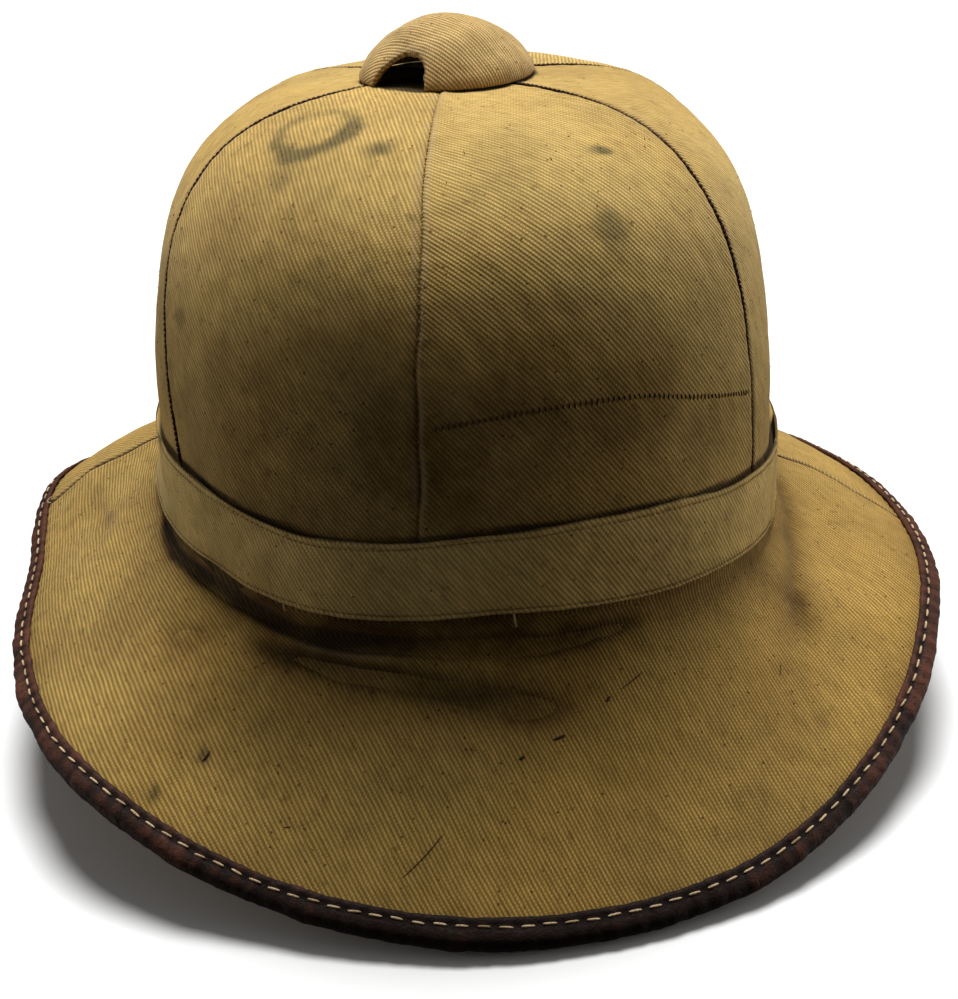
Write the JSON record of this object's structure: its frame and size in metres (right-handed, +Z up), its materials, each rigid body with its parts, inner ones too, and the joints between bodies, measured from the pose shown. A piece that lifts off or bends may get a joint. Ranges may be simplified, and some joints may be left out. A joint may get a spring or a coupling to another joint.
{
  "type": "pith helmet",
  "caption": "Tall domed sun helmet with a cloth-covered cork shell, a folded cloth band, a wide sloping brim edged in leather and a notched ventilator cap on top.",
  "frame": {"origin": "middle of the helmet's outline at the height of the surface that it rests on", "axes": "+Z up, +Y along the helmet's longer way, with the long rear of the brim taken to face -Y, +X to the viewer's right in the picture"},
  "size_m": [0.2842, 0.3218, 0.1987],
  "materials": {
    "crown_cloth": "matte khaki cotton twill, stained and worn",
    "brim_cloth": "matte khaki cotton twill, dusty and scuffed",
    "band_cloth": "matte darker khaki twill, folded and stitched",
    "cap_cloth": "matte khaki cotton twill over a stiff dome",
    "binding_leather": "worn dark brown, slightly glossy, puckered between cream stitches",
    "cork": "raw pressed cork",
    "stud_steel": "dull"
  },
  "bodies": {
    "root": {"cork_shell": "cork", "crown_gore_rear_right": "crown_cloth", "crown_gore_side_right": "crown_cloth", "crown_gore_front_right": "crown_cloth", "crown_gore_front_left": "crown_cloth", "crown_gore_side_left": "crown_cloth", "crown_gore_rear_left": "crown_cloth", "brim_cover_rear": "brim_cloth", "brim_cover_front": "brim_cloth", "cloth_band": "band_cloth", "edge_binding": "binding_leather", "ventilator_cap": "cap_cloth", "cap_stud": "stud_steel"}
  },
  "joints": []
}
